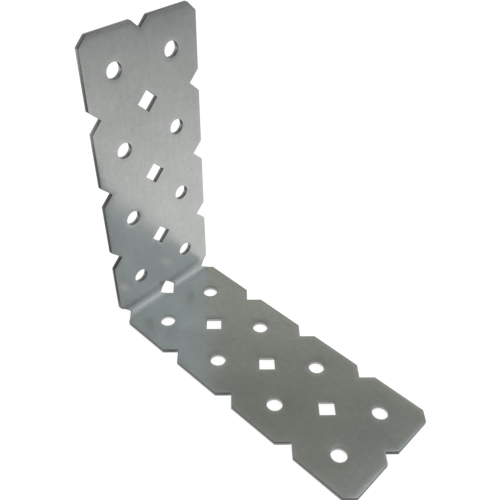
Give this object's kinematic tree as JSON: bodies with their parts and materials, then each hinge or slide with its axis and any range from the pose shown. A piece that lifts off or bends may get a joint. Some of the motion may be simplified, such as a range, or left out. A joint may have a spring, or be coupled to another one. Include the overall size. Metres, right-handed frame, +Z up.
{
  "type": "angle bracket",
  "caption": "Equal-legged angle bracket folded from punched galvanised steel strip, with rows of round screw holes, square holes along the middle and notched edges.",
  "frame": {"origin": "the heel: the line where the planes of the two outer faces meet, at the middle of the strip's width", "axes": "+X along the base leg, +Z up along the upright leg, +Y across the strip along the fold"},
  "size_m": [0.101, 0.04, 0.101],
  "materials": {
    "galvanised_steel": "smooth galvanised, satin"
  },
  "bodies": {
    "root": {"angle_bracket": "galvanised_steel"}
  },
  "joints": []
}
